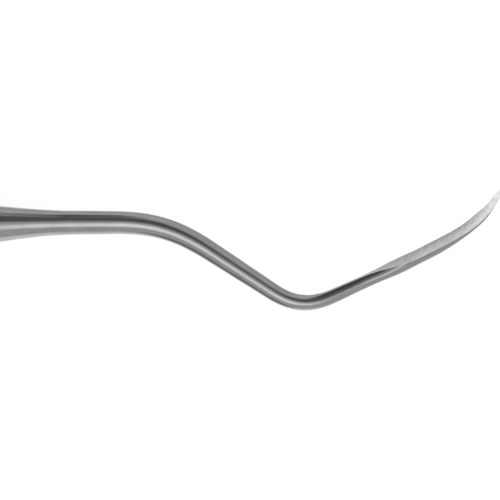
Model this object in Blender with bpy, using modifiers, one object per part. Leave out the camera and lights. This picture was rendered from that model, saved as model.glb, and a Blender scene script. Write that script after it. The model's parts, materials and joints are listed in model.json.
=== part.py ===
"""Dental elevator: a bent steel working tip that screws into a hollow handle with silicone grip rings.

Frame: +X runs along the handle's axis, from the butt towards the blade. The shank bends in the plane
parallel to XY through that axis, and the instrument rests on one flat of its eight-sided handle at
Z = 0. The origin is the middle of that flat. Lengths are metres, angles are degrees.
"""

import math

import bmesh
import bpy
from mathutils import Matrix, Vector

MM = 0.001

# ---- driving dimensions -----------------------------------------------------------------------
ACROSS_FLATS = 8.8 * MM
HANDLE_LENGTH = 105.0 * MM
NECK_DIAMETER = 2.9 * MM
SHANK_END_DIAMETER = 1.57 * MM
BLADE_WIDTH = 2.3 * MM

# The tip's centreline from the collar on. Each bend turns the shank smoothly: (start, length, turn).
TIP_REACH = 74.5 * MM
BENDS = (
    (8.0 * MM, 12.0 * MM, -1.5),     # the neck leaves the axis a little
    (20.6 * MM, 14.0 * MM, -33.0),   # away from the axis
    (42.0 * MM, 9.0 * MM, 57.5),     # back towards the axis
)
HOOK_LENGTH = 23.0 * MM              # the blade curls up more and more towards its end
HOOK_TURN = 42.0
HOOK_POWER = 4
CENTRE_STEP = 0.1 * MM

# ---- handle -----------------------------------------------------------------------------------
AXIS_Z = ACROSS_FLATS / 2
NOSE_FACE_X = HANDLE_LENGTH / 2
BUTT_FACE_X = -HANDLE_LENGTH / 2
NOSE_LENGTH = 10.0 * MM
NOSE_LAND_LENGTH = 2.0 * MM   # full-width land behind the nose's taper
PLUG_LENGTH = 6.0 * MM
JOINT_GAP = 0.3 * MM          # between pieces that meet face to face
FIT_GAP = 0.1 * MM            # radial, between pieces that fit one inside the other
SPIGOT_LENGTH = 8.0 * MM
BORE_RADIUS = 3.2 * MM
END_RADIUS = 4.2 * MM         # round ends of the handle, just inside its flats
END_CHAMFER = 0.9 * MM
GROOVE_RADIUS = 3.75 * MM
GROOVE_WIDTH = 2.8 * MM
GROOVE_PITCH = 4.8 * MM
FRONT_RINGS = 6
REAR_RINGS = 3
RING_END_MARGIN = 6.0 * MM    # from the tube's end to the middle of the nearest groove
RING_RADIUS = 4.34 * MM
RING_EDGE = 0.25 * MM

# ---- screw-in joint of the tip ----------------------------------------------------------------
THREAD_PITCH = 0.75 * MM
THREAD_TURNS = 7
THREAD_LENGTH = THREAD_PITCH * THREAD_TURNS
STUD_RADIUS = 1.5 * MM
STUD_CHAMFER = 0.4 * MM
CONE_LENGTH = 4.0 * MM
CONE_RADIUS = 2.5 * MM
CONE_END_RADIUS = 2.0 * MM
NOSE_RADIUS = 3.45 * MM
CODE_RING_WIDTH = 1.6 * MM
CODE_RING_GAP = 0.15 * MM     # on each side of the ring
COLLAR_LENGTH = 3.0 * MM
COLLAR_RADIUS = 3.4 * MM
COLLAR_CHAMFER = 0.25 * MM
WRENCH_ACROSS_FLATS = 5.8 * MM
WRENCH_FLAT_LENGTH = 2.0 * MM

# ---- shank and blade --------------------------------------------------------------------------
FLARE_LENGTH = 16.0 * MM
FLARE_POWER = 1.5
TAPER_LENGTH = 38.0 * MM
TAPER_POWER = 1.2
BLADE_LENGTH = 20.5 * MM
BLADE_ROLL = 25.0             # the blade's face leans this far out of the plane of the bends
WIDENING_LENGTH = 7.0 * MM
FACE_RUN_IN = 8.0 * MM        # over which the grinding goes from the surface to the middle
BLADE_ROOT_DEPTH = 1.2 * MM
DEEPENING_START = 2.0 * MM
DEEPENING_LENGTH = 6.6 * MM
BLADE_END_DEPTH = 0.60 * MM
THINNING_START = 9.0 * MM
THINNING_LENGTH = 7.0 * MM
TIP_LENGTH = 4.6 * MM
TIP_WIDTH = 1.4 * MM
TIP_ROUND_LENGTH = 0.9 * MM
TIP_DEPTH = 0.15 * MM
END_WIDTH_SHARE = 0.2         # width left at the very end of the rounded tip
FACE_HOLLOW = 0.10 * MM
ROUND_FACE_ARC = 60.0         # half the arc that the face's points take on a round section
START_FACE_ARC = 6.0
ARC_RUN_IN = 5.0 * MM

# ---- fineness ---------------------------------------------------------------------------------
TURNED_STEPS = 32
FACE_POINTS = 8
BACK_POINTS = 16
SHANK_STEP = 0.9 * MM
BLADE_STEP = 0.5 * MM
ROUND_STEPS = 4
MERGE = 0.000001

STEEL = ("brushed_steel", (0.62, 0.62, 0.63), 0.30, 1.0)
POLISHED_STEEL = ("polished_steel", (0.66, 0.66, 0.67), 0.22, 1.0)
SILICONE = ("grey_silicone", (0.10, 0.10, 0.11), 0.55, 0.0)


def clear_scene():
    for item in list(bpy.data.objects):
        bpy.data.objects.remove(item, do_unlink=True)


def collection(name):
    group = bpy.data.collections.new(name)
    bpy.context.scene.collection.children.link(group)
    return group


def give_material(piece, spec):
    name, colour, roughness, metallic = spec
    material = bpy.data.materials.new(f"{piece.name}_{name}")
    material.use_nodes = True
    shader = material.node_tree.nodes["Principled BSDF"]
    shader.inputs["Base Color"].default_value = (*colour, 1.0)
    shader.inputs["Roughness"].default_value = roughness
    shader.inputs["Metallic"].default_value = metallic
    piece.data.materials.append(material)


def mesh_object(name, mesh, group):
    piece = bpy.data.objects.new(name, mesh)
    group.objects.link(piece)
    return piece


def hide_cutter(cutter):
    cutter.display_type = 'WIRE'
    cutter.hide_render = True
    return cutter


def turned(name, profile, group, closed=False):
    """A turned piece on the handle's axis. The profile's (radius, x) points run from +X to -X outside."""
    points = [(radius, 0.0, x) for radius, x in profile]
    edges = [(i, i + 1) for i in range(len(points) - 1)]
    if closed:
        edges.append((len(points) - 1, 0))
    mesh = bpy.data.meshes.new(name)
    mesh.from_pydata(points, edges, [])
    piece = mesh_object(name, mesh, group)
    piece.rotation_euler = (0.0, math.radians(90), 0.0)
    piece.location.z = AXIS_Z
    screw = piece.modifiers.new("Turn", 'SCREW')
    screw.axis = 'Z'
    screw.angle = math.radians(360)
    screw.steps = screw.render_steps = TURNED_STEPS
    screw.use_merge_vertices = True
    screw.merge_threshold = MERGE
    screw.use_smooth_shade = True
    return piece


def boolean(piece, cutter, operation):
    cut = piece.modifiers.new(operation.title(), 'BOOLEAN')
    cut.object = cutter
    cut.operation = operation
    cut.solver = 'EXACT'


# ---- handle -----------------------------------------------------------------------------------
def tube_ends():
    """The handle tube's (front, rear) ends along X."""
    return NOSE_FACE_X - NOSE_LENGTH - JOINT_GAP, BUTT_FACE_X + PLUG_LENGTH + JOINT_GAP


def groove_places():
    """The grip rings' places along X, as (front list, rear list)."""
    front, rear = tube_ends()
    front_places = [front - RING_END_MARGIN - i * GROOVE_PITCH for i in range(FRONT_RINGS)]
    rear_places = [rear + RING_END_MARGIN + i * GROOVE_PITCH for i in range(REAR_RINGS)]
    return front_places, rear_places


def handle_tube(group, cutters):
    """Eight-sided tube, turned down to a round end at each side, bored through and grooved."""
    front, rear = tube_ends()
    corner = ACROSS_FLATS / 2 / math.cos(math.radians(22.5))
    clear_radius = corner + FIT_GAP
    profile = [(END_RADIUS, front), (clear_radius, front - END_CHAMFER)]
    front_places, rear_places = groove_places()
    for place in front_places + rear_places[::-1]:
        for x, outer_first in ((place + GROOVE_WIDTH / 2, True), (place - GROOVE_WIDTH / 2, False)):
            radii = (clear_radius, GROOVE_RADIUS) if outer_first else (GROOVE_RADIUS, clear_radius)
            profile.extend((radius, x) for radius in radii)
    profile += [(clear_radius, rear + END_CHAMFER), (END_RADIUS, rear)]
    profile += [(BORE_RADIUS, rear), (BORE_RADIUS, front)]
    envelope = hide_cutter(turned("handle_envelope", profile, cutters, closed=True))

    mesh = bpy.data.meshes.new("handle_tube")
    shape = bmesh.new()
    bmesh.ops.create_cone(shape, cap_ends=True, segments=8, radius1=corner, radius2=corner,
                          depth=front - rear + 2 * MM)
    bmesh.ops.rotate(shape, verts=shape.verts, cent=(0, 0, 0),
                     matrix=Matrix.Rotation(math.radians(22.5), 3, 'Z'))
    shape.to_mesh(mesh)
    shape.free()
    tube = mesh_object("handle_tube", mesh, group)
    tube.rotation_euler = (0.0, math.radians(90), 0.0)
    tube.location = ((front + rear) / 2, 0.0, AXIS_Z)
    boolean(tube, envelope, 'INTERSECT')
    give_material(tube, STEEL)


def grip_rings(group):
    """Silicone rings that snap into the tube's grooves, flush with its flats."""
    front_places, rear_places = groove_places()
    inner = GROOVE_RADIUS + FIT_GAP
    half = GROOVE_WIDTH / 2 - FIT_GAP
    for label, places in (("front", front_places), ("rear", rear_places)):
        for number, place in enumerate(places, start=1):
            profile = [(inner, place + half), (RING_RADIUS - RING_EDGE, place + half),
                       (RING_RADIUS, place + half - RING_EDGE), (RING_RADIUS, place - half + RING_EDGE),
                       (RING_RADIUS - RING_EDGE, place - half), (inner, place - half)]
            ring = turned(f"{label}_grip_ring_{number}", profile, group, closed=True)
            give_material(ring, SILICONE)


def socket_nose(group):
    """Turned bush pressed into the tube's front end: conical mouth, then the thread for the tip."""
    back = NOSE_FACE_X - NOSE_LENGTH
    spigot = BORE_RADIUS - FIT_GAP
    hole = STUD_RADIUS + FIT_GAP
    edge = 0.3 * MM
    profile = [(CONE_RADIUS + FIT_GAP, NOSE_FACE_X), (NOSE_RADIUS - edge, NOSE_FACE_X),
               (NOSE_RADIUS, NOSE_FACE_X - edge), (END_RADIUS, back + NOSE_LAND_LENGTH), (END_RADIUS, back),
               (spigot, back), (spigot, back - SPIGOT_LENGTH), (hole, back - SPIGOT_LENGTH),
               (hole, NOSE_FACE_X - CONE_LENGTH), (CONE_END_RADIUS + FIT_GAP, NOSE_FACE_X - CONE_LENGTH)]
    give_material(turned("socket_nose", profile, group, closed=True), STEEL)


def rear_plug(group):
    """Plug pressed into the tube's rear end, with a flat butt face and a rounded rim."""
    front = BUTT_FACE_X + PLUG_LENGTH
    rim = 1.4 * MM
    spigot = BORE_RADIUS - FIT_GAP
    profile = [(0.0, front + SPIGOT_LENGTH), (spigot, front + SPIGOT_LENGTH), (spigot, front),
               (END_RADIUS, front)]
    rim_steps = 5
    for step in range(rim_steps + 1):
        angle = math.radians(90 * step / rim_steps)
        profile.append((END_RADIUS - rim + rim * math.cos(angle),
                        BUTT_FACE_X + rim - rim * math.sin(angle)))
    profile.append((0.0, BUTT_FACE_X))
    give_material(turned("rear_plug", profile, group), STEEL)


# ---- working tip ------------------------------------------------------------------------------
def collar_front_x():
    return NOSE_FACE_X + CODE_RING_WIDTH + 2 * CODE_RING_GAP + COLLAR_LENGTH


def code_ring(group):
    """Silicone identification ring in the groove between the nose and the tip's collar."""
    rear = NOSE_FACE_X + CODE_RING_GAP
    front = rear + CODE_RING_WIDTH
    inner = CONE_RADIUS + FIT_GAP
    edge = 0.2 * MM
    profile = [(inner, front), (NOSE_RADIUS - edge, front), (NOSE_RADIUS, front - edge),
               (NOSE_RADIUS, rear + edge), (NOSE_RADIUS - edge, rear), (inner, rear)]
    give_material(turned("code_ring", profile, group, closed=True), SILICONE)


def ease(value):
    """Rises smoothly from 0 to 1 as value goes from 0 to 1."""
    value = min(max(value, 0.0), 1.0)
    return value * value * (3.0 - 2.0 * value)


def shank_diameter(distance):
    """Diameter at a distance from the collar: a flare that runs out, then a slow taper."""
    flare = max(0.0, 1.0 - distance / FLARE_LENGTH) ** FLARE_POWER
    taper = min(max(0.0, (distance - FLARE_LENGTH) / TAPER_LENGTH), 1.0) ** TAPER_POWER
    flare_rise = 2 * COLLAR_RADIUS - NECK_DIAMETER
    return NECK_DIAMETER + flare_rise * flare - (NECK_DIAMETER - SHANK_END_DIAMETER) * taper


def section(distance):
    """(half width, half depth, half face arc, face hollow) of the tip's section at a distance."""
    round_radius = shank_diameter(distance) / 2
    start = TIP_REACH - BLADE_LENGTH
    if distance <= start:
        arc = ROUND_FACE_ARC + (START_FACE_ARC - ROUND_FACE_ARC) * ease((distance - start) / ARC_RUN_IN + 1)
        return round_radius, round_radius, arc, 0.0
    along = distance - start
    left = TIP_REACH - distance
    widening = ease(along / WIDENING_LENGTH)
    run_in = ease(along / FACE_RUN_IN)
    tip = ease((TIP_LENGTH - left) / (TIP_LENGTH - TIP_ROUND_LENGTH))
    rounding = max(0.0, 1.0 - left / TIP_ROUND_LENGTH)
    half_width = round_radius + (BLADE_WIDTH / 2 - round_radius) * widening
    half_width += (TIP_WIDTH / 2 - half_width) * tip
    half_width *= math.sqrt(max(1.0 - rounding ** 2, END_WIDTH_SHARE ** 2))
    deepening = ease((along - DEEPENING_START) / DEEPENING_LENGTH)
    thinning = ease((along - THINNING_START) / THINNING_LENGTH)
    half_depth = round_radius + (BLADE_ROOT_DEPTH - round_radius) * deepening
    half_depth += (BLADE_END_DEPTH - half_depth) * thinning
    half_depth += (TIP_DEPTH - half_depth) * tip
    arc = START_FACE_ARC + (90.0 - START_FACE_ARC) * run_in
    return half_width, half_depth, arc, FACE_HOLLOW * run_in * (1.0 - tip)


def section_points(distance):
    """The section's (across, out of plane) points: the ground face first, then the round back."""
    half_width, half_depth, arc, hollow = section(distance)
    on_blade = distance > TIP_REACH - BLADE_LENGTH
    roll = math.radians(BLADE_ROLL)
    flat = []
    for i in range(FACE_POINTS):
        part = 2.0 * i / FACE_POINTS - 1.0
        angle = math.radians(arc) * part
        if on_blade:
            across = half_width * math.sin(math.radians(arc)) * part
            depth = half_depth * math.cos(math.radians(arc)) - hollow * (1.0 - part * part)
            flat.append((across, depth))
        else:
            flat.append((half_width * math.sin(angle), half_depth * math.cos(angle)))
    for i in range(BACK_POINTS):
        angle = math.radians(arc + (360.0 - 2.0 * arc) * i / BACK_POINTS)
        flat.append((half_width * math.sin(angle), half_depth * math.cos(angle)))
    rolled = [(depth * math.cos(roll) - across * math.sin(roll),
               depth * math.sin(roll) + across * math.cos(roll)) for across, depth in flat]
    low = min(across for across, up in rolled)
    high = max(across for across, up in rolled)
    return [(across - (low + high) / 2, up) for across, up in rolled]


def heading(distance):
    """Heading of the tip's centreline, in degrees from the handle's axis, at a distance from the collar."""
    bends = sum(turn * ease((distance - start) / length) for start, length, turn in BENDS)
    hook = max(0.0, 1.0 - (TIP_REACH - distance) / HOOK_LENGTH)
    return bends + HOOK_TURN * hook ** HOOK_POWER


def centreline(distance):
    """(point, heading in degrees) on the tip's centreline at a distance from the collar."""
    point = Vector((collar_front_x(), 0.0, AXIS_Z))
    count = max(1, math.ceil(distance / CENTRE_STEP))
    step = distance / count
    for i in range(count):
        angle = math.radians(heading((i + 0.5) * step))
        point += step * Vector((math.cos(angle), math.sin(angle), 0.0))
    return point, heading(distance)


def base_rings():
    """Rings of the tip's turned base, from the stud's end to the collar, as (x, radius)."""
    seat = NOSE_FACE_X - CONE_LENGTH
    groove_front = NOSE_FACE_X + CODE_RING_WIDTH + 2 * CODE_RING_GAP
    return ((seat - THREAD_LENGTH, STUD_RADIUS - STUD_CHAMFER),
            (seat - THREAD_LENGTH + STUD_CHAMFER, STUD_RADIUS),
            (seat, STUD_RADIUS),
            (seat, CONE_END_RADIUS),
            (NOSE_FACE_X, CONE_RADIUS),
            (groove_front, CONE_RADIUS),
            (groove_front, COLLAR_RADIUS - COLLAR_CHAMFER),
            (groove_front + COLLAR_CHAMFER, COLLAR_RADIUS),
            (groove_front + COLLAR_LENGTH - COLLAR_CHAMFER, COLLAR_RADIUS))


def tip_stations():
    """Distances from the collar where the loft has a section, closer together on the blade."""
    blade_start = TIP_REACH - BLADE_LENGTH
    shank_count = round(blade_start / SHANK_STEP)
    blade_count = round((BLADE_LENGTH - TIP_ROUND_LENGTH) / BLADE_STEP)
    stations = [blade_start * i / shank_count for i in range(shank_count)]
    stations += [blade_start + (BLADE_LENGTH - TIP_ROUND_LENGTH) * i / blade_count
                 for i in range(blade_count)]
    stations += [TIP_REACH - TIP_ROUND_LENGTH * (1.0 - math.sin(math.radians(90 * i / ROUND_STEPS)))
                 for i in range(ROUND_STEPS + 1)]
    return stations


def working_tip(group, cutters):
    """Stud, cone, collar, shank and blade in one forging, lofted along the centreline."""
    shape = bmesh.new()
    loops = []
    count = FACE_POINTS + BACK_POINTS
    base_section = [Vector((across, up)).normalized() for across, up in section_points(0.0)]
    for x, radius in base_rings():
        loops.append([shape.verts.new((x, radius * unit.x, AXIS_Z + radius * unit.y))
                      for unit in base_section])
    for distance in tip_stations():
        point, course = centreline(distance)
        sideways = Vector((-math.sin(math.radians(course)), math.cos(math.radians(course)), 0.0))
        loops.append([shape.verts.new(point + across * sideways + Vector((0.0, 0.0, up)))
                      for across, up in section_points(distance)])
    for first, second in zip(loops, loops[1:]):
        for i in range(count):
            following = (i + 1) % count
            shape.faces.new((first[i], first[following], second[following], second[i]))
    shape.faces.new(loops[0])
    shape.faces.new(loops[-1])
    bmesh.ops.recalc_face_normals(shape, faces=shape.faces)
    mesh = bpy.data.meshes.new("working_tip")
    shape.to_mesh(mesh)
    shape.free()
    mesh.shade_smooth()
    mesh.set_sharp_from_angle(angle=math.radians(30))
    tip = mesh_object("working_tip", mesh, group)
    give_material(tip, POLISHED_STEEL)
    for side in (1, -1):
        boolean(tip, wrench_flat_cutter(side, cutters), 'DIFFERENCE')


def wrench_flat_cutter(side, cutters):
    """Box that mills one of the two wrench flats on the collar."""
    block = 2 * MM
    size = (WRENCH_FLAT_LENGTH, 4 * COLLAR_RADIUS, block)
    mesh = bpy.data.meshes.new("wrench_flat_cutter")
    shape = bmesh.new()
    bmesh.ops.create_cube(shape, size=1.0)
    bmesh.ops.scale(shape, verts=shape.verts, vec=size)
    shape.to_mesh(mesh)
    shape.free()
    cutter = hide_cutter(mesh_object("wrench_flat_cutter", mesh, cutters))
    cutter.location = (collar_front_x() - COLLAR_LENGTH / 2, 0.0,
                       AXIS_Z + side * (WRENCH_ACROSS_FLATS + block) / 2)
    return cutter


def build():
    clear_scene()
    group = collection("dental_elevator")
    cutters = collection("cutters")
    handle_tube(group, cutters)
    socket_nose(group)
    rear_plug(group)
    grip_rings(group)
    code_ring(group)
    working_tip(group, cutters)


build()
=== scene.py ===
"""Looks of the dental elevator: fine meshes, satin steel and silicone, studio light and camera.

Everything is in metres in the CAD model's frame: +X along the handle's axis towards the blade,
+Z up, Z = 0 the table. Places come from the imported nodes' boxes. The shape of the tip is the CAD
model's own design, lofted here with many more sections.
"""

import json
import math

import bmesh
import bpy
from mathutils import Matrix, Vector

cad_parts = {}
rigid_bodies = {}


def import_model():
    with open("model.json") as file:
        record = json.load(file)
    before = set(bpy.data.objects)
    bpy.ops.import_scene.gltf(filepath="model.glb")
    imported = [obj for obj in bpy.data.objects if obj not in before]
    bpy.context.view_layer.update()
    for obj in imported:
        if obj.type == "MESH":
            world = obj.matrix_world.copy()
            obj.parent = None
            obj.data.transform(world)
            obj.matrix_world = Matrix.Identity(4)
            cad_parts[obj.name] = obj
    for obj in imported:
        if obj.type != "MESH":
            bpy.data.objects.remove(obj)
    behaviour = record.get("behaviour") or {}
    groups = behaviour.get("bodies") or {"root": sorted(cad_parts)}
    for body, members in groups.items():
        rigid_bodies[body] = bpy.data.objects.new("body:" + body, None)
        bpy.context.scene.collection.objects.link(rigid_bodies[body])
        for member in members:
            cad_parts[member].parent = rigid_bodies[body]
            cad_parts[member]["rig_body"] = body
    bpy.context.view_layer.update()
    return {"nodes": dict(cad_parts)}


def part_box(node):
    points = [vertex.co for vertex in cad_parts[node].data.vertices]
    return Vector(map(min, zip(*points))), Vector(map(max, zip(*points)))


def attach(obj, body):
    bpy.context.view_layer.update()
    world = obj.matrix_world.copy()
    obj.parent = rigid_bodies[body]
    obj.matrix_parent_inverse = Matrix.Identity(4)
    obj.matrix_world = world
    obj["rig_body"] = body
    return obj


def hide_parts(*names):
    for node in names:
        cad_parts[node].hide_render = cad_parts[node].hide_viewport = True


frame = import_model()

MM = 0.001

# ---- places read from the frame ---------------------------------------------------------------
TUBE_LOW, TUBE_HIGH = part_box("handle_tube")
NOSE_LOW, NOSE_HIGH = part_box("socket_nose")
PLUG_LOW, PLUG_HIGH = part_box("rear_plug")
TIP_LOW, TIP_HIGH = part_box("working_tip")
CODE_LOW, CODE_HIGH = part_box("code_ring")
AXIS_Z = (TUBE_LOW.z + TUBE_HIGH.z) / 2
ACROSS_FLATS = TUBE_HIGH.z - TUBE_LOW.z
CORNER_RADIUS = ACROSS_FLATS / 2 / math.cos(math.pi / 8)
NOSE_FACE_X = NOSE_HIGH.x
NOSE_RADIUS = (CODE_HIGH.z - CODE_LOW.z) / 2
END_RADIUS = (NOSE_HIGH.z - NOSE_LOW.z) / 2

# ---- the tip's design, as in the CAD model ----------------------------------------------------
TIP_ARC_LENGTH = 74.5 * MM
BENDS = (             # (start, length, turn in degrees) of each smooth bend, from the collar on
    (8.0 * MM, 12.0 * MM, -1.5),
    (20.6 * MM, 14.0 * MM, -33.0),
    (42.0 * MM, 9.0 * MM, 57.5),
)
HOOK_LENGTH = 23.0 * MM       # the curl that grows towards the blade's end
HOOK_TURN = 42.0
HOOK_POWER = 4
CENTRE_STEP = 0.1 * MM

NECK_DIAMETER = 2.9 * MM
SHANK_END_DIAMETER = 1.57 * MM
FLARE_LENGTH = 16.0 * MM
FLARE_POWER = 1.5
TAPER_LENGTH = 38.0 * MM
TAPER_POWER = 1.2

BLADE_LENGTH = 20.5 * MM
BLADE_START = TIP_ARC_LENGTH - BLADE_LENGTH
BLADE_ROLL = math.radians(25.0)
BLADE_WIDTH = 2.3 * MM
WIDENING_LENGTH = 7.0 * MM
BLADE_ROOT_DEPTH = 1.2 * MM
DEEPENING_START = 2.0 * MM
DEEPENING_LENGTH = 6.6 * MM
BLADE_END_DEPTH = 0.60 * MM
THINNING_START = 9.0 * MM
THINNING_LENGTH = 7.0 * MM
TIP_LENGTH = 4.6 * MM
TIP_WIDTH = 1.4 * MM
TIP_DEPTH = 0.15 * MM
TIP_ROUND_LENGTH = 0.9 * MM
END_WIDTH_SHARE = 0.2
FACE_RUN_IN = 8.0 * MM
FACE_HOLLOW = 0.10 * MM
ROUND_FACE_ARC = 60.0         # half of the angle that the section's face points span on the shank
START_FACE_ARC = 6.0          # and where the ground face begins
ARC_RUN_IN = 5.0 * MM

STUD_RADIUS = 1.5 * MM
STUD_CHAMFER = 0.4 * MM
THREAD_PITCH = 0.75 * MM
THREAD_TURNS = 7
THREAD_LENGTH = THREAD_TURNS * THREAD_PITCH
THREAD_DEPTH = 0.28 * MM
THREAD_STEEPNESS = 1.25       # above 1, the thread's root is flat
CONE_LENGTH = 4.0 * MM
CONE_RADIUS = 2.5 * MM
CONE_END_RADIUS = 2.0 * MM
CONE_EDGE = 0.12 * MM
CODE_RING_GAP = 0.15 * MM
GROOVE_FRONT_X = CODE_HIGH.x + CODE_RING_GAP
COLLAR_LENGTH = 3.0 * MM
COLLAR_RADIUS = 3.4 * MM
COLLAR_EDGE = 0.25 * MM
COLLAR_FILLET = 0.08 * MM
COLLAR_FRONT_X = GROOVE_FRONT_X + COLLAR_LENGTH
WRENCH_ACROSS_FLATS = 5.8 * MM
WRENCH_FLAT_LENGTH = 2.0 * MM

# ---- the handle -------------------------------------------------------------------------------
FIT_GAP = 0.1 * MM
FINE_EDGE = 0.05 * MM
JOINT_EDGE = 0.1 * MM         # rounding where two turned pieces meet
BORE_RADIUS = 3.2 * MM
TUBE_CHAMFER = 0.9 * MM
TUBE_EDGE = 0.06 * MM
CORNER_ROUNDING = 0.10 * MM
CORNER_CLEARANCE = 0.2 * MM   # how far the turning profile stands outside the corners
RING_GROOVE_RADIUS = 3.75 * MM
GROOVE_SIDE_GAP = 0.1 * MM
WALL_HEIGHT = 0.12 * MM       # radial steps above this get points of their own

SPIGOT_LENGTH = 8.0 * MM
SPIGOT_RADIUS = BORE_RADIUS - FIT_GAP
SPIGOT_EDGE = 0.3 * MM
NOSE_BACK_X = NOSE_LOW.x + SPIGOT_LENGTH
NOSE_EDGE = 0.25 * MM
SHOULDER_LENGTH = 2 * MM
SHOULDER_ROUNDING = 1.0 * MM
NOSE_GROOVES = (1.6 * MM, 2.4 * MM)      # behind the nose's face
NOSE_GROOVE_DEPTH = 0.12 * MM

PLUG_FRONT_X = PLUG_HIGH.x - SPIGOT_LENGTH
PLUG_GROOVES = (1.3 * MM, 2.1 * MM)      # behind the plug's front
PLUG_GROOVE_DEPTH = 0.14 * MM
PLUG_RIM_ROUNDING = 1.4 * MM
BUTT_EDGE = 0.08 * MM
RECESS_RADIUS = 1.9 * MM
RECESS_FLOOR_RADIUS = 1.7 * MM
RECESS_DEPTH = 0.2 * MM
CENTRE_RADIUS = 0.02 * MM     # where a cap closes a turned end

SOFT_EDGE = 0.28 * MM
RIB_MARGIN = 1.2 * SOFT_EDGE
RIB_GROOVE_DEPTH = 0.09 * MM
RIB_EDGE = 0.07 * MM

# ---- fineness ---------------------------------------------------------------------------------
FACE_POINTS = 24              # round a section of the tip
BACK_POINTS = 48
TURNED_POINTS = 128           # round a turned piece
TUBE_POINTS = 192             # round the eight-sided tube
SHANK_STEP = 0.30 * MM
BLADE_STEP = 0.12 * MM
ROUND_STEPS = 10              # along the blade's rounded end
THREAD_STEPS = 14             # along one turn of the thread
EDGE_STEPS = 4                # round a rounded edge
WALL_STEPS = 12               # down a radial step of the tube
SHARP_ANGLE = 30.0            # edges sharper than this aren't smoothed
TURNED_SHARP_ANGLE = 40.0
SOFT_SHARP_ANGLE = 80.0

# ---- materials: scales are in noise cells per metre -------------------------------------------
NOISE_ROUGHNESS = 0.6
NOISE_SPREAD = (0.3, 0.7)     # where nearly all of a noise's values lie
EXTRA_BLUE = 0.004

STREAK_CELLS = 9000
SHADE_CELLS = 1400
MOTTLE_CELLS = 500
MOTTLE_COLOUR = (-0.02, 0.02)
MOTTLE_HEIGHT = 0.6
GROUND_PATCH_CELLS = 1800
GROUND_SCRATCH_CELLS = 8000
GROUND_STRETCH = (1.0, 8.0, 1.0)         # the scratches run across the blade
# the ground face's colour: patchy tone, raised above the steel's as a painted sheen
GROUND_TONE_AND_SHEEN = (0.78, 1.0)
GROUND_ROUGHNESS = (0.36, 0.48)
GROUND_RUN_IN = 0.5 * MM

BLOOM_CELLS = 700
BLOOM_COLOUR = (0.8, 1.3)     # as shares of the silicone's own level
SILICONE_ROUGHNESS = (0.46, 0.62)
GRAIN_CELLS = 6000
GRAIN_DEPTH = 0.01 * MM

# ---- studio -----------------------------------------------------------------------------------
UPPER_LEVEL = 0.50            # of the room above and below the horizon
LOWER_LEVEL = 0.48
HORIZON = (-0.2, 0.2)         # heights between which the one runs into the other
BACKDROP_LEVEL = 1.05         # what the camera itself sees
ZONES = (
    # Soft zones of the room that the steel mirrors: azimuth, elevation, inner and outer radius in
    # degrees, and level. Azimuth 0 is +X and 90 is +Y.
    (260.0, -42.0, 16.0, 42.0, 0.95),   # near side, low: soft box
    (160.0, -45.0, 14.0, 50.0, 1.40),   # behind the handle, low, where the blade's face looks
    (237.0, -15.0, 10.0, 30.0, 0.22),   # near side, towards the handle: dark card
    (118.0, 18.0, 20.0, 36.0, 0.06),    # far side: dark card
    (80.0, 58.0, 14.0, 28.0, 0.12),     # far side, high: dark card
    (84.0, -4.0, 8.0, 22.0, 0.60),      # far side: pale strip
    (255.0, 64.0, 6.0, 23.0, 1.15),     # near side, high: soft box
)
FLOOR_SIZE = 3.0
FLOOR_COLOUR = (0.85, 0.85, 0.85, 1.0)
FLOOR_GLOW = 0.75

# ---- the picture ------------------------------------------------------------------------------
VIEW_WIDTH = 60.0 * MM        # of the table that the picture shows
LENS = 110.0                  # focal length and sensor width in millimetres
SENSOR = 36.0
CLIP_START = 0.01
CLIP_END = 10.0
CAMERA_ROLL = math.radians(-1.5)
AIM_BACK = 0.27 * MM          # shifts of the aim that keep the blade's end at the right edge
AIM_UP = 0.06 * MM


# ---- mesh helpers -----------------------------------------------------------------------------
def ease(value):
    """Rises smoothly from 0 to 1 as value goes from 0 to 1."""
    value = min(max(value, 0.0), 1.0)
    return value * value * (3.0 - 2.0 * value)


def mix(first, second, share):
    """A value between two, by share."""
    return first + (second - first) * share


def mesh_object(name, shape):
    """The scene object made of a bmesh, which is freed."""
    mesh = bpy.data.meshes.new(name)
    shape.to_mesh(mesh)
    shape.free()
    piece = bpy.data.objects.new(name, mesh)
    bpy.context.scene.collection.objects.link(piece)
    return piece


def loft(name, rings, closed=False, attributes=None, sharp=SHARP_ANGLE):
    """A skin over rings of points. Its ends are capped, or joined to each other if closed."""
    shape = bmesh.new()
    loops = [[shape.verts.new(point) for point in ring] for ring in rings]
    count = len(loops[0])
    pairs = list(zip(loops, loops[1:]))
    if closed:
        pairs.append((loops[-1], loops[0]))
    for first, second in pairs:
        for i in range(count):
            following = (i + 1) % count
            shape.faces.new((first[i], first[following], second[following], second[i]))
    if not closed:
        shape.faces.new(loops[0])
        shape.faces.new(loops[-1])
    bmesh.ops.recalc_face_normals(shape, faces=shape.faces)
    piece = mesh_object(name, shape)
    mesh = piece.data
    for label, values in (attributes or {}).items():
        kind = 'FLOAT_VECTOR' if len(values[0]) == 3 else 'FLOAT'
        layer = mesh.attributes.new(label, kind, 'POINT')
        flat = [number for value in values for number in value]
        layer.data.foreach_set("vector" if kind == 'FLOAT_VECTOR' else "value", flat)
    mesh.shade_smooth()
    mesh.set_sharp_from_angle(angle=math.radians(sharp))
    return piece


def place(piece, node, material):
    """piece stands for a CAD node, which is hidden: it rides on the node's body and takes the given
    material.
    """
    body = frame["nodes"][node]["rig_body"]
    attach(piece, body)
    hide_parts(node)
    piece.data.materials.append(material)


def circle_ring(x, radius, points=TURNED_POINTS, radius_at=None):
    """A ring of points round the handle's axis; radius_at(angle, radius) may vary its radius."""
    ring = []
    for i in range(points):
        angle = 2 * math.pi * i / points
        here = radius_at(angle, radius) if radius_at else radius
        ring.append(Vector((x, here * math.cos(angle), AXIS_Z + here * math.sin(angle))))
    return ring


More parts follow.
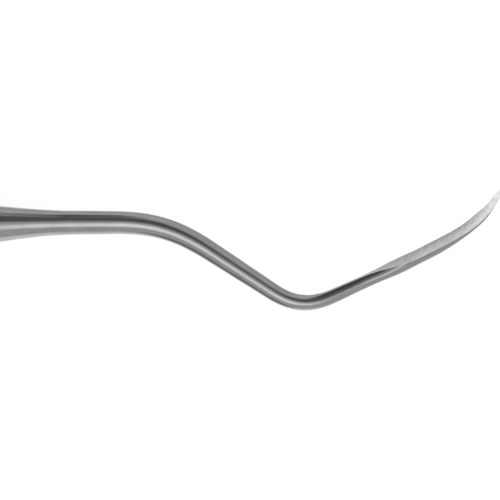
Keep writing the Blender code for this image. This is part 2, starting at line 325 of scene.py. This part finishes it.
def rounded_profile(corners):
    """(x, radius) points through (x, radius, rounding) corners, each turned as a small arc."""
    profile = []
    for i, (x, radius, rounding) in enumerate(corners):
        here = Vector((x, radius))
        before = Vector(corners[i - 1][:2]) if i else here
        after = Vector(corners[i + 1][:2]) if i + 1 < len(corners) else here
        if rounding == 0.0 or before == here or after == here:
            profile.append((x, radius))
            continue
        start = here + (before - here).normalized() * rounding
        end = here + (after - here).normalized() * rounding
        for step in range(EDGE_STEPS + 1):
            t = step / EDGE_STEPS
            point = start * (1 - t) ** 2 + here * 2 * t * (1 - t) + end * t * t
            profile.append((point.x, point.y))
    return profile


def fine_groove(x, radius, depth, edge=FINE_EDGE):
    """Corners of a turned V groove, as wide to each side as it is deep."""
    return [(x + depth, radius, edge), (x, radius - depth, FINE_EDGE), (x - depth, radius, edge)]


def apply_modifiers(piece):
    """Turns the object's mesh into what its modifiers make of it."""
    depsgraph = bpy.context.evaluated_depsgraph_get()
    mesh = bpy.data.meshes.new_from_object(piece.evaluated_get(depsgraph))
    piece.modifiers.clear()
    piece.data = mesh


# ---- working tip ------------------------------------------------------------------------------
def shank_diameter(distance):
    """Diameter at a distance from the collar: a flare that runs out, then a slow taper."""
    flare = max(0.0, 1.0 - distance / FLARE_LENGTH) ** FLARE_POWER
    taper = min(max(0.0, (distance - FLARE_LENGTH) / TAPER_LENGTH), 1.0) ** TAPER_POWER
    flare_rise = 2 * COLLAR_RADIUS - NECK_DIAMETER
    return NECK_DIAMETER + flare_rise * flare - (NECK_DIAMETER - SHANK_END_DIAMETER) * taper


def section(distance):
    """(half width, half depth, half face arc, face hollow) of the tip's section at a distance."""
    round_radius = shank_diameter(distance) / 2
    if distance <= BLADE_START:
        arc = mix(ROUND_FACE_ARC, START_FACE_ARC, ease((distance - BLADE_START) / ARC_RUN_IN + 1))
        return round_radius, round_radius, arc, 0.0
    along = distance - BLADE_START
    left = TIP_ARC_LENGTH - distance
    widening = ease(along / WIDENING_LENGTH)
    deepening = ease((along - DEEPENING_START) / DEEPENING_LENGTH)
    thinning = ease((along - THINNING_START) / THINNING_LENGTH)
    run_in = ease(along / FACE_RUN_IN)
    tip = ease((TIP_LENGTH - left) / (TIP_LENGTH - TIP_ROUND_LENGTH))
    rounding = max(0.0, 1.0 - left / TIP_ROUND_LENGTH)
    half_width = mix(round_radius, BLADE_WIDTH / 2, widening)
    half_width = mix(half_width, TIP_WIDTH / 2, tip)
    half_width *= math.sqrt(max(1.0 - rounding ** 2, END_WIDTH_SHARE ** 2))
    half_depth = mix(round_radius, BLADE_ROOT_DEPTH, deepening)
    half_depth = mix(half_depth, BLADE_END_DEPTH, thinning)
    half_depth = mix(half_depth, TIP_DEPTH, tip)
    arc = mix(START_FACE_ARC, 90.0, run_in)
    return half_width, half_depth, arc, FACE_HOLLOW * run_in * (1.0 - tip)


def section_points(distance):
    """The section's (across, up) points: the ground face first, then the round back."""
    half_width, half_depth, arc, hollow = section(distance)
    arc = math.radians(arc)
    flat = []
    for i in range(FACE_POINTS):
        part = 2.0 * i / FACE_POINTS - 1.0
        if distance > BLADE_START:
            flat.append((half_width * math.sin(arc) * part,
                         half_depth * math.cos(arc) - hollow * (1.0 - part * part)))
        else:
            flat.append((half_width * math.sin(arc * part), half_depth * math.cos(arc * part)))
    for i in range(BACK_POINTS):
        angle = mix(arc, 2 * math.pi - arc, i / BACK_POINTS)
        flat.append((half_width * math.sin(angle), half_depth * math.cos(angle)))
    rolled = [(depth * math.cos(BLADE_ROLL) - across * math.sin(BLADE_ROLL),
               depth * math.sin(BLADE_ROLL) + across * math.cos(BLADE_ROLL))
              for across, depth in flat]
    middle = (min(point[0] for point in rolled) + max(point[0] for point in rolled)) / 2
    return [(across - middle, up) for across, up in rolled]


def course(distance):
    """Heading of the tip's centreline at a distance from the collar, in degrees from the axis."""
    bends = sum(turn * ease((distance - start) / length) for start, length, turn in BENDS)
    hook = max(0.0, 1.0 - (TIP_ARC_LENGTH - distance) / HOOK_LENGTH)
    return bends + HOOK_TURN * hook ** HOOK_POWER


def centreline(distance):
    """(point, heading in radians) on the tip's centreline at a distance from the collar."""
    point = Vector((COLLAR_FRONT_X, 0.0, AXIS_Z))
    count = max(1, math.ceil(distance / CENTRE_STEP))
    step = distance / count
    for i in range(count):
        angle = math.radians(course((i + 0.5) * step))
        point += step * Vector((math.cos(angle), math.sin(angle), 0.0))
    return point, math.radians(course(distance))


def thread_radius(x, angle, seat):
    """Radius of the stud's helical thread, which runs out at both ends."""
    turns = (x - seat) / THREAD_PITCH - angle / (2 * math.pi)
    flank = abs((turns % 1.0) * 2.0 - 1.0)
    fade = ease((seat - x) / THREAD_PITCH) * ease((x - seat + THREAD_LENGTH) / THREAD_PITCH)
    return STUD_RADIUS - THREAD_DEPTH * fade * ease(flank * THREAD_STEEPNESS)


def base_rings(angles):
    """Rings of the tip's base: threaded stud, cone, neck under the code ring, and collar."""
    seat = NOSE_FACE_X - CONE_LENGTH
    end = seat - THREAD_LENGTH
    places = [(end, [STUD_RADIUS - STUD_CHAMFER for angle in angles])]
    steps = THREAD_TURNS * THREAD_STEPS
    for i in range(1, steps + 1):
        x = end + THREAD_LENGTH * i / steps
        chamfer = STUD_CHAMFER * (1.0 - min(1.0, (x - end) / STUD_CHAMFER))
        places.append((x, [thread_radius(x, angle, seat) - chamfer for angle in angles]))
    profile = rounded_profile([
        (seat, STUD_RADIUS, 0.0), (seat, CONE_END_RADIUS, CONE_EDGE),
        (NOSE_FACE_X, CONE_RADIUS, 0.0), (GROOVE_FRONT_X, CONE_RADIUS, COLLAR_FILLET),
        (GROOVE_FRONT_X, COLLAR_RADIUS, COLLAR_EDGE)])
    profile.append((COLLAR_FRONT_X - 2 * COLLAR_EDGE, COLLAR_RADIUS))
    places += [(x, [radius for angle in angles]) for x, radius in profile[1:]]
    return [[Vector((x, radius * math.cos(angle), AXIS_Z + radius * math.sin(angle)))
             for angle, radius in zip(angles, radii)] for x, radii in places]


def tip_stations():
    """Distances from the collar where the loft has a section, closer together on the blade."""
    shank = round(BLADE_START / SHANK_STEP)
    blade = round((BLADE_LENGTH - TIP_ROUND_LENGTH) / BLADE_STEP)
    stations = [BLADE_START * i / shank for i in range(shank)]
    stations += [BLADE_START + (BLADE_LENGTH - TIP_ROUND_LENGTH) * i / blade for i in range(blade)]
    stations += [TIP_ARC_LENGTH - TIP_ROUND_LENGTH * (1.0 - math.sin(math.pi / 2 * i / ROUND_STEPS))
                 for i in range(ROUND_STEPS + 1)]
    return stations


def working_tip(material):
    """The forging, whose points keep their place on the unbent tip and whether they are ground."""
    base_angles = [math.atan2(up, across) for across, up in section_points(0.0)]
    rings = base_rings(base_angles)
    straight = [(point.x - COLLAR_FRONT_X, point.y, point.z - AXIS_Z)
                for ring in rings for point in ring]
    ground = [(0.0,)] * len(straight)
    for distance in tip_stations():
        point, heading = centreline(distance)
        sideways = Vector((-math.sin(heading), math.cos(heading), 0.0))
        points = section_points(distance)
        rings.append([point + across * sideways + Vector((0.0, 0.0, up)) for across, up in points])
        straight.extend((distance, across, up) for across, up in points)
        on_blade = ease((distance - BLADE_START) / GROUND_RUN_IN)
        ground.extend((on_blade if i <= FACE_POINTS else 0.0,) for i in range(len(points)))
    piece = loft("working_tip_forging", rings, attributes={"straight": straight, "ground": ground})
    for side in (1, -1):
        cutter = wrench_flat_cutter(side)
        cut = piece.modifiers.new("Wrench flat", 'BOOLEAN')
        cut.object = cutter
        cut.operation = 'DIFFERENCE'
        cut.solver = 'EXACT'
        apply_modifiers(piece)
        bpy.data.objects.remove(cutter)
    place(piece, "working_tip", material)


def wrench_flat_cutter(side):
    """Box that mills one of the two wrench flats on the collar."""
    height = 2 * MM
    centre = Vector((COLLAR_FRONT_X - COLLAR_LENGTH / 2, 0.0,
                     AXIS_Z + side * (WRENCH_ACROSS_FLATS + height) / 2))
    shape = bmesh.new()
    bmesh.ops.create_cube(shape, size=1.0)
    bmesh.ops.scale(shape, verts=shape.verts, vec=(WRENCH_FLAT_LENGTH, 4 * COLLAR_RADIUS, height))
    bmesh.ops.translate(shape, verts=shape.verts, vec=centre)
    return mesh_object("wrench_flat_cutter", shape)


# ---- handle -----------------------------------------------------------------------------------
def soft_minimum(first, second, softness):
    """The smaller of two lengths, blended where they are close."""
    share = max(softness - abs(first - second), 0.0) / softness
    return min(first, second) - share * share * softness / 4


def eight_sided(angle, radius):
    """Radius of the eight-sided tube at an angle, turned down to radius where that is smaller."""
    from_flat = (angle + math.pi / 8) % (math.pi / 4) - math.pi / 8
    flat = ACROSS_FLATS / 2 / math.cos(from_flat)
    sides = soft_minimum(flat, CORNER_RADIUS - CORNER_ROUNDING, 2 * CORNER_ROUNDING)
    return soft_minimum(sides, radius, TUBE_EDGE)


def ring_nodes():
    """Names of the grip rings' nodes."""
    return sorted(name for name in frame["nodes"] if "grip_ring" in name)


def with_walls(profile):
    """A profile with points down its high radial steps, so that they meet the flats cleanly."""
    points = []
    for (x1, r1), (x2, r2) in zip(profile, profile[1:]):
        points.append((x1, r1))
        if abs(r2 - r1) > WALL_HEIGHT:
            points.extend((mix(x1, x2, i / WALL_STEPS), mix(r1, r2, i / WALL_STEPS))
                          for i in range(1, WALL_STEPS))
    points.append(profile[-1])
    return points


def handle_tube(material):
    """Eight-sided tube with rounded corners, turned ends, and a groove under each grip ring."""
    clear = CORNER_RADIUS + CORNER_CLEARANCE
    front, rear = TUBE_HIGH.x, TUBE_LOW.x
    corners = [(front, BORE_RADIUS, JOINT_EDGE), (front, END_RADIUS, TUBE_EDGE),
               (front - TUBE_CHAMFER, clear, 0.0)]
    for node in sorted(ring_nodes(), key=lambda name: -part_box(name)[0].x):
        low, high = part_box(node)
        start, end = high.x + GROOVE_SIDE_GAP, low.x - GROOVE_SIDE_GAP
        corners += [(start, clear, 0.0), (start, RING_GROOVE_RADIUS, TUBE_EDGE),
                    (end, RING_GROOVE_RADIUS, TUBE_EDGE), (end, clear, 0.0)]
    corners += [(rear + TUBE_CHAMFER, clear, 0.0), (rear, END_RADIUS, TUBE_EDGE),
                (rear, BORE_RADIUS, JOINT_EDGE)]
    rings = [circle_ring(x, radius, points=TUBE_POINTS, radius_at=eight_sided)
             for x, radius in with_walls(rounded_profile(corners))]
    piece = loft("handle_tube_body", rings, closed=True)
    place(piece, "handle_tube", material)


def turned_piece(name, node, material, corners, closed=True, sharp=TURNED_SHARP_ANGLE):
    """A piece turned round the handle's axis from a profile's corners."""
    rings = [circle_ring(x, radius) for x, radius in rounded_profile(corners)]
    piece = loft(name, rings, closed=closed, sharp=sharp)
    place(piece, node, material)


def socket_nose(material):
    """Turned bush: conical mouth, tapering outside with two fine grooves, and a spigot."""
    hole = STUD_RADIUS + FIT_GAP
    taper_end = NOSE_BACK_X + SHOULDER_LENGTH
    slope = (END_RADIUS - NOSE_RADIUS) / (NOSE_FACE_X - NOSE_EDGE - taper_end)
    corners = [(NOSE_FACE_X, CONE_RADIUS + FIT_GAP, FINE_EDGE),
               (NOSE_FACE_X, NOSE_RADIUS, NOSE_EDGE)]
    for back in NOSE_GROOVES:
        corners += fine_groove(NOSE_FACE_X - back, NOSE_RADIUS + slope * back, NOSE_GROOVE_DEPTH)
    corners += [(taper_end, END_RADIUS, SHOULDER_ROUNDING), (NOSE_BACK_X, END_RADIUS, JOINT_EDGE),
                (NOSE_BACK_X, SPIGOT_RADIUS, 0.0), (NOSE_LOW.x, SPIGOT_RADIUS, SPIGOT_EDGE),
                (NOSE_LOW.x, hole, FINE_EDGE), (NOSE_FACE_X - CONE_LENGTH, hole, 0.0),
                (NOSE_FACE_X - CONE_LENGTH, CONE_END_RADIUS + FIT_GAP, 0.0)]
    turned_piece("socket_nose_bush", "socket_nose", material, corners)


def rear_plug(material):
    """Plug with two fine grooves, a rounded rim and a flat butt face with a shallow recess."""
    corners = [(PLUG_HIGH.x, CENTRE_RADIUS, 0.0), (PLUG_HIGH.x, SPIGOT_RADIUS, SPIGOT_EDGE),
               (PLUG_FRONT_X, SPIGOT_RADIUS, 0.0), (PLUG_FRONT_X, END_RADIUS, JOINT_EDGE)]
    for back in PLUG_GROOVES:
        corners += fine_groove(PLUG_FRONT_X - back, END_RADIUS, PLUG_GROOVE_DEPTH)
    corners += [(PLUG_LOW.x, END_RADIUS, PLUG_RIM_ROUNDING), (PLUG_LOW.x, RECESS_RADIUS, BUTT_EDGE),
                (PLUG_LOW.x + RECESS_DEPTH, RECESS_FLOOR_RADIUS, BUTT_EDGE),
                (PLUG_LOW.x + RECESS_DEPTH, CENTRE_RADIUS, 0.0)]
    turned_piece("rear_plug_body", "rear_plug", material, corners, closed=False)


def silicone_ring(node, material, seat, ribs):
    """A moulded ring on a seat of that radius, with soft edges and fine ribs round its crown."""
    low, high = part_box(node)
    outer = (high.z - low.z) / 2
    inner = seat + FIT_GAP
    corners = [(high.x, inner, FINE_EDGE), (high.x, outer, SOFT_EDGE)]
    rib_pitch = (high.x - low.x - 2 * RIB_MARGIN) / ribs
    for i in range(1, ribs):
        x = high.x - RIB_MARGIN - i * rib_pitch
        corners += fine_groove(x, outer, RIB_GROOVE_DEPTH, RIB_EDGE)
    corners += [(low.x, outer, SOFT_EDGE), (low.x, inner, FINE_EDGE)]
    turned_piece(f"{node}_moulding", node, material, corners, sharp=SOFT_SHARP_ANGLE)


# ---- node helpers -----------------------------------------------------------------------------
def node_material(name, metallic, roughness):
    """(material, node tree, shader) of a new Principled material."""
    material = bpy.data.materials.new(name)
    material.use_nodes = True
    shader = material.node_tree.nodes["Principled BSDF"]
    shader.inputs["Metallic"].default_value = metallic
    shader.inputs["Roughness"].default_value = roughness
    return material, material.node_tree, shader


def add(tree, kind, **values):
    """A node of that kind. Keys name its properties or, with a capital letter, its inputs."""
    node = tree.nodes.new(kind)
    for key, value in values.items():
        if key[0].isupper():
            node.inputs[key.replace("_", " ")].default_value = value
        else:
            setattr(node, key, value)
    return node


def feed(tree, socket, value):
    """Sets a socket to a number, or links it to another node's output."""
    if isinstance(value, (int, float)):
        socket.default_value = value
    else:
        tree.links.new(value, socket)


def noise(tree, vector, scale, stretch=(1.0, 1.0, 1.0), detail=4.0):
    """Noise over a vector, with scale in cells per metre and a stretch for each axis."""
    mapping = add(tree, "ShaderNodeMapping", Scale=tuple(scale / s for s in stretch))
    tree.links.new(vector, mapping.inputs["Vector"])
    texture = add(tree, "ShaderNodeTexNoise", Scale=1.0, Detail=detail, Roughness=NOISE_ROUGHNESS)
    tree.links.new(mapping.outputs["Vector"], texture.inputs["Vector"])
    return texture.outputs["Fac"]


def mapped(tree, value, low, high, source=NOISE_SPREAD, **options):
    """A value brought from its source range to low..high."""
    node = add(tree, "ShaderNodeMapRange", From_Min=source[0], From_Max=source[1],
               To_Min=low, To_Max=high, **options)
    tree.links.new(value, node.inputs["Value"])
    return node.outputs["Result"]


def arithmetic(tree, operation, first, second):
    """The result of a Math node on two values."""
    node = add(tree, "ShaderNodeMath", operation=operation)
    for socket, value in zip(node.inputs, (first, second)):
        feed(tree, socket, value)
    return node.outputs[0]


def blended(tree, share, first, second):
    """One value running into another as the share goes from 0 to 1."""
    node = add(tree, "ShaderNodeMix", data_type='FLOAT')
    for label, value in (("Factor", share), ("A", first), ("B", second)):
        feed(tree, node.inputs[label], value)
    return node.outputs["Result"]


def grey(tree, value):
    """A colour of that brightness, nearly neutral with a trace of blue."""
    node = add(tree, "ShaderNodeCombineColor")
    tree.links.new(value, node.inputs["Red"])
    tree.links.new(value, node.inputs["Green"])
    tree.links.new(arithmetic(tree, 'ADD', value, EXTRA_BLUE), node.inputs["Blue"])
    return node.outputs["Color"]


def bump(tree, shader, height, distance):
    """Gives a shader's surface the relief of a height value, so many metres deep."""
    node = add(tree, "ShaderNodeBump", Strength=1.0, Distance=distance)
    tree.links.new(height, node.inputs["Height"])
    tree.links.new(node.outputs["Normal"], shader.inputs["Normal"])


def camera_ray(tree):
    """1 for what the camera sees directly, and 0 in mirrors and for light."""
    return add(tree, "ShaderNodeLightPath").outputs["Is Camera Ray"]


# ---- materials --------------------------------------------------------------------------------
def object_place(tree):
    """Where the point lies."""
    return add(tree, "ShaderNodeTexCoord").outputs["Object"]


def straight_place(tree):
    """Where the point would lie if the shank were straight, so that streaks follow the bends."""
    return add(tree, "ShaderNodeAttribute", attribute_name="straight").outputs["Vector"]


def steel(name, vector_of, streak, colour, roughness, bump_depth, ground_face=False):
    """Satin stainless steel: fine streaks from polishing and soft mottling.

    A blade's ground face is rougher, with short scratches across it and patches. Its colour is set
    brighter than the steel's, as a painted sheen for the light the face reflects.
    """
    material, tree, shader = node_material(name, metallic=1.0, roughness=sum(roughness) / 2)
    vector = vector_of(tree)
    fine = noise(tree, vector, STREAK_CELLS, streak)
    coarse = noise(tree, vector, SHADE_CELLS, tuple(math.sqrt(s) for s in streak))
    mottle = noise(tree, vector, MOTTLE_CELLS, detail=2.0)
    shade = arithmetic(tree, 'ADD', mapped(tree, coarse, *colour),
                       mapped(tree, mottle, *MOTTLE_COLOUR))
    gloss = mapped(tree, fine, *roughness)
    height = arithmetic(tree, 'ADD', fine, arithmetic(tree, 'MULTIPLY', mottle, MOTTLE_HEIGHT))
    if ground_face:
        share = add(tree, "ShaderNodeAttribute", attribute_name="ground").outputs["Fac"]
        patches = noise(tree, vector, GROUND_PATCH_CELLS, detail=2.0)
        scratches = noise(tree, vector, GROUND_SCRATCH_CELLS, GROUND_STRETCH)
        # painted sheen: the ground face gets a brighter, patchy colour than the rest of the steel
        shade = blended(tree, share, shade, mapped(tree, patches, *GROUND_TONE_AND_SHEEN))
        gloss = blended(tree, share, gloss, mapped(tree, scratches, *GROUND_ROUGHNESS))
        height = blended(tree, share, height, arithmetic(tree, 'ADD', scratches, patches))
    tree.links.new(grey(tree, shade), shader.inputs["Base Color"])
    tree.links.new(gloss, shader.inputs["Roughness"])
    bump(tree, shader, height, bump_depth)
    return material


def silicone(name, level):
    """Matt silicone: slight bloom and dust in its colour, and an even moulded grain."""
    material, tree, shader = node_material(name, metallic=0.0, roughness=0.5)
    vector = object_place(tree)
    bloom = noise(tree, vector, BLOOM_CELLS, detail=3.0)
    grain = noise(tree, vector, GRAIN_CELLS, detail=3.0)
    shade = mapped(tree, bloom, *(level * share for share in BLOOM_COLOUR))
    tree.links.new(grey(tree, shade), shader.inputs["Base Color"])
    tree.links.new(mapped(tree, bloom, *SILICONE_ROUGHNESS), shader.inputs["Roughness"])
    bump(tree, shader, grain, GRAIN_DEPTH)
    return material


# ---- room, floor and camera -------------------------------------------------------------------
def direction(azimuth, elevation):
    """Unit vector towards an azimuth and elevation in degrees."""
    a, e = math.radians(azimuth), math.radians(elevation)
    return Vector((math.cos(a) * math.cos(e), math.sin(a) * math.cos(e), math.sin(e)))


def studio_world():
    """A pale room with soft zones; the camera itself sees it plain white."""
    world = bpy.data.worlds.new("studio")
    bpy.context.scene.world = world
    world.use_nodes = True
    tree = world.node_tree
    tree.nodes.clear()
    ray = add(tree, "ShaderNodeTexCoord").outputs["Generated"]
    height = add(tree, "ShaderNodeSeparateXYZ")
    tree.links.new(ray, height.inputs[0])
    level = mapped(tree, height.outputs["Z"], LOWER_LEVEL, UPPER_LEVEL, source=HORIZON)
    for azimuth, elevation, inner, outer, zone_level in ZONES:
        dot = add(tree, "ShaderNodeVectorMath", operation='DOT_PRODUCT')
        dot.inputs[1].default_value = direction(azimuth, elevation)
        tree.links.new(ray, dot.inputs[0])
        rim = (math.cos(math.radians(outer)), math.cos(math.radians(inner)))
        share = mapped(tree, dot.outputs["Value"], 0.0, 1.0, source=rim,
                       interpolation_type='SMOOTHSTEP')
        level = blended(tree, share, level, zone_level)
    room = add(tree, "ShaderNodeBackground")
    tree.links.new(level, room.inputs["Strength"])
    white = add(tree, "ShaderNodeBackground", Strength=BACKDROP_LEVEL)
    choice = add(tree, "ShaderNodeMixShader")
    tree.links.new(camera_ray(tree), choice.inputs["Fac"])
    tree.links.new(room.outputs[0], choice.inputs[1])
    tree.links.new(white.outputs[0], choice.inputs[2])
    tree.links.new(choice.outputs[0], add(tree, "ShaderNodeOutputWorld").inputs["Surface"])


def floor():
    """A white light table: it glows towards the camera, and takes a faint contact shadow."""
    shape = bmesh.new()
    bmesh.ops.create_grid(shape, x_segments=1, y_segments=1, size=FLOOR_SIZE)
    table = mesh_object("floor", shape)
    material, tree, shader = node_material("light_table", metallic=0.0, roughness=0.9)
    shader.inputs["Base Color"].default_value = FLOOR_COLOUR
    shader.inputs["Specular IOR Level"].default_value = 0.0
    shader.inputs["Emission Color"].default_value = (1.0, 1.0, 1.0, 1.0)
    glow = arithmetic(tree, 'MULTIPLY', camera_ray(tree), FLOOR_GLOW)
    tree.links.new(glow, shader.inputs["Emission Strength"])
    table.data.materials.append(material)
    table.visible_glossy = False


def camera():
    """Straight above the working end, with the blade's end at the right edge of the picture."""
    data = bpy.data.cameras.new("camera")
    data.lens = LENS
    data.sensor_width = SENSOR
    data.clip_start = CLIP_START
    data.clip_end = CLIP_END
    view = bpy.data.objects.new("camera", data)
    bpy.context.scene.collection.objects.link(view)
    aim = Vector((TIP_HIGH.x - VIEW_WIDTH / 2 - AIM_BACK,
                  (TIP_LOW.y + TIP_HIGH.y) / 2 + AIM_UP, AXIS_Z))
    view.location = aim + Vector((0.0, 0.0, VIEW_WIDTH * LENS / SENSOR))
    view.rotation_euler = (0.0, 0.0, CAMERA_ROLL)
    bpy.context.scene.camera = view
    bpy.context.scene.view_settings.view_transform = 'Standard'


def build():
    """All pieces, the room, the floor and the camera."""
    tip_steel = steel("satin_tip_steel", straight_place, streak=(14.0, 1.0, 1.0),
                      colour=(0.60, 0.70), roughness=(0.13, 0.21), bump_depth=0.0012 * MM,
                      ground_face=True)
    tube_steel = steel("brushed_tube_steel", object_place, streak=(30.0, 1.0, 1.0),
                       colour=(0.55, 0.63), roughness=(0.24, 0.38), bump_depth=0.002 * MM)
    turned_steel = steel("turned_steel", object_place, streak=(1.0, 8.0, 8.0),
                         colour=(0.56, 0.64), roughness=(0.20, 0.32), bump_depth=0.0015 * MM)
    grip = silicone("grip_silicone", level=0.10)
    code = silicone("code_silicone", level=0.22)
    working_tip(tip_steel)
    handle_tube(tube_steel)
    socket_nose(turned_steel)
    rear_plug(turned_steel)
    for node in ring_nodes():
        silicone_ring(node, grip, seat=RING_GROOVE_RADIUS, ribs=5)
    silicone_ring("code_ring", code, seat=CONE_RADIUS, ribs=1)
    studio_world()
    floor()
    camera()


build()
